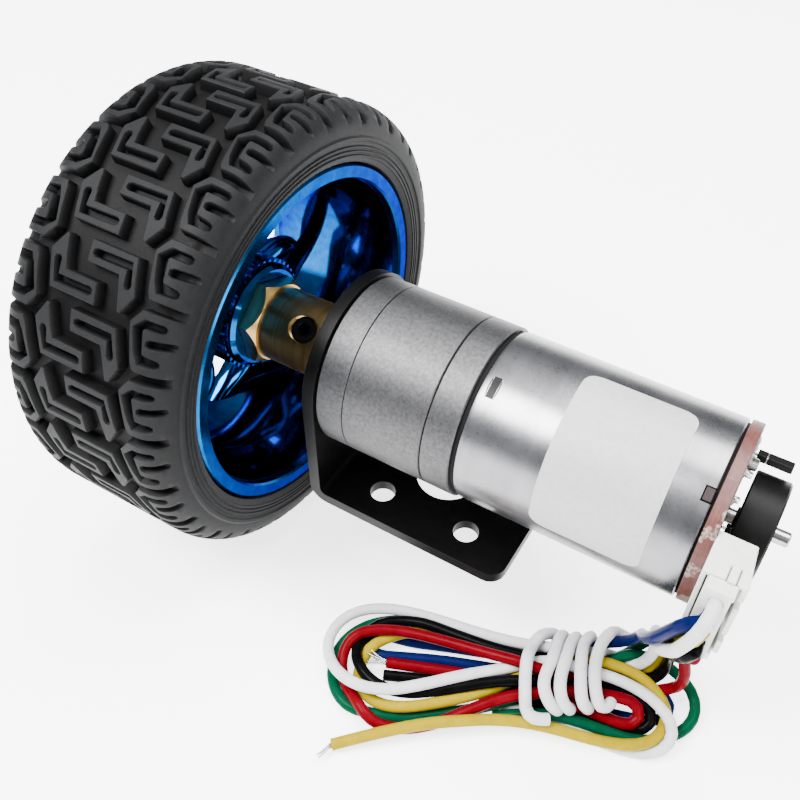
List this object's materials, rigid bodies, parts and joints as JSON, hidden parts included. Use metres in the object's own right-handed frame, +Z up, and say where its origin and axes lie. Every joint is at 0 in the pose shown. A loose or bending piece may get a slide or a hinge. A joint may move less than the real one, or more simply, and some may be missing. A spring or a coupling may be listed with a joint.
{
  "type": "gearmotor with wheel",
  "caption": "Small DC spur gearmotor on a black L bracket, with a magnetic encoder, a brass hex coupling, a blue wheel with a rubber tyre, and a plugged lead tied in a hank.",
  "frame": {"origin": "on the underside of the bracket's foot, midway between its two front screw holes", "axes": "+X along the motor's axis from the wheel to the encoder, +Z up from the foot through the motor, +Y to the side away from the lead"},
  "size_m": [0.0995, 0.0761, 0.068],
  "materials": {
    "painted_black": "satin black paint on bent sheet steel",
    "zinc": "satin machined zinc",
    "can_steel": "nickel-plated sheet steel, slightly mottled",
    "steel": "bright steel",
    "black_steel": "black oxide",
    "brass": "turned brass, faint lathe lines",
    "bronze": "sintered bronze",
    "copper": "enamelled copper",
    "ferrite": "dull grey ferrite",
    "carbon": "dull carbon",
    "blue_chrome": "mirror-bright blue plating on plastic",
    "tyre_rubber": "dull dark rubber",
    "black_plastic": "satin black plastic",
    "brown_plastic": "dull brown plastic",
    "white_plastic": "cream nylon",
    "paper": "satin white label stock",
    "board": "pinkish brown laminate with solder areas",
    "wire": "satin PVC insulation in six colours",
    "wire_yellow": "satin PVC insulation"
  },
  "bodies": {
    "gearmotor": {"bracket": "painted_black", "bracket_screw_1": "steel", "bracket_screw_2": "steel", "gearbox_front": "zinc", "output_bush": "bronze", "gearbox_barrel": "zinc", "gearbox_rear": "zinc", "gearbox_screw_1": "steel", "gearbox_screw_2": "steel", "gearbox_screw_3": "steel", "motor_screw_1": "steel", "motor_screw_2": "steel", "gear_pin_1": "steel", "gear_pin_2": "steel", "motor_can": "can_steel", "front_bearing": "bronze", "magnet_1": "ferrite", "magnet_2": "ferrite", "end_cap": "brown_plastic", "rear_bearing": "bronze", "brush_1": "carbon", "brush_2": "carbon", "terminal_1": "steel", "terminal_2": "steel", "label": "paper", "encoder_board": "board", "hall_sensor_1": "black_plastic", "hall_sensor_2": "black_plastic", "board_header": "white_plastic", "lead_plug": "white_plastic", "lead_bundle": "wire", "wire_hank": "wire", "wire_tail": "wire_yellow"},
    "output": {"output_shaft": "steel", "output_gear": "steel", "hex_coupling": "brass", "set_screw": "black_steel", "wheel_rim": "blue_chrome", "tyre": "tyre_rubber", "wheel_screw": "steel", "wheel_washer": "steel"},
    "gear_3": {"gear_3": "steel"},
    "gear_2": {"gear_2": "steel"},
    "gear_1": {"gear_1": "steel"},
    "rotor": {"rotor_shaft": "steel", "motor_pinion": "brass", "armature_core": "steel", "winding_1": "copper", "winding_2": "copper", "winding_3": "copper", "commutator": "copper", "encoder_magnet": "black_plastic"}
  },
  "joints": [
    {"name": "output_spin", "type": "hinge", "parent": "gearmotor", "child": "output", "pos_m": [-0.0079, 0, 0.0191], "axis": [1, 0, 0], "continuous": true},
    {"name": "gear_3_spin", "type": "hinge", "parent": "gearmotor", "child": "gear_3", "pos_m": [-0.0079, 0.00298, 0.02425], "axis": [1, 0, 0], "continuous": true},
    {"name": "gear_2_spin", "type": "hinge", "parent": "gearmotor", "child": "gear_2", "pos_m": [-0.0079, -0.00298, 0.02425], "axis": [1, 0, 0], "continuous": true},
    {"name": "gear_1_spin", "type": "hinge", "parent": "gearmotor", "child": "gear_1", "pos_m": [-0.0079, 0.00298, 0.02425], "axis": [1, 0, 0], "continuous": true},
    {"name": "rotor_spin", "type": "hinge", "parent": "gearmotor", "child": "rotor", "pos_m": [-0.0079, 0, 0.0191], "axis": [1, 0, 0], "continuous": true}
  ],
  "couplings": [
    {"joint": "gear_3_spin", "follows": "output_spin", "ratio": -2.4},
    {"joint": "gear_2_spin", "follows": "output_spin", "ratio": 5.76},
    {"joint": "gear_1_spin", "follows": "output_spin", "ratio": -13.824},
    {"joint": "rotor_spin", "follows": "output_spin", "ratio": 33.178}
  ]
}
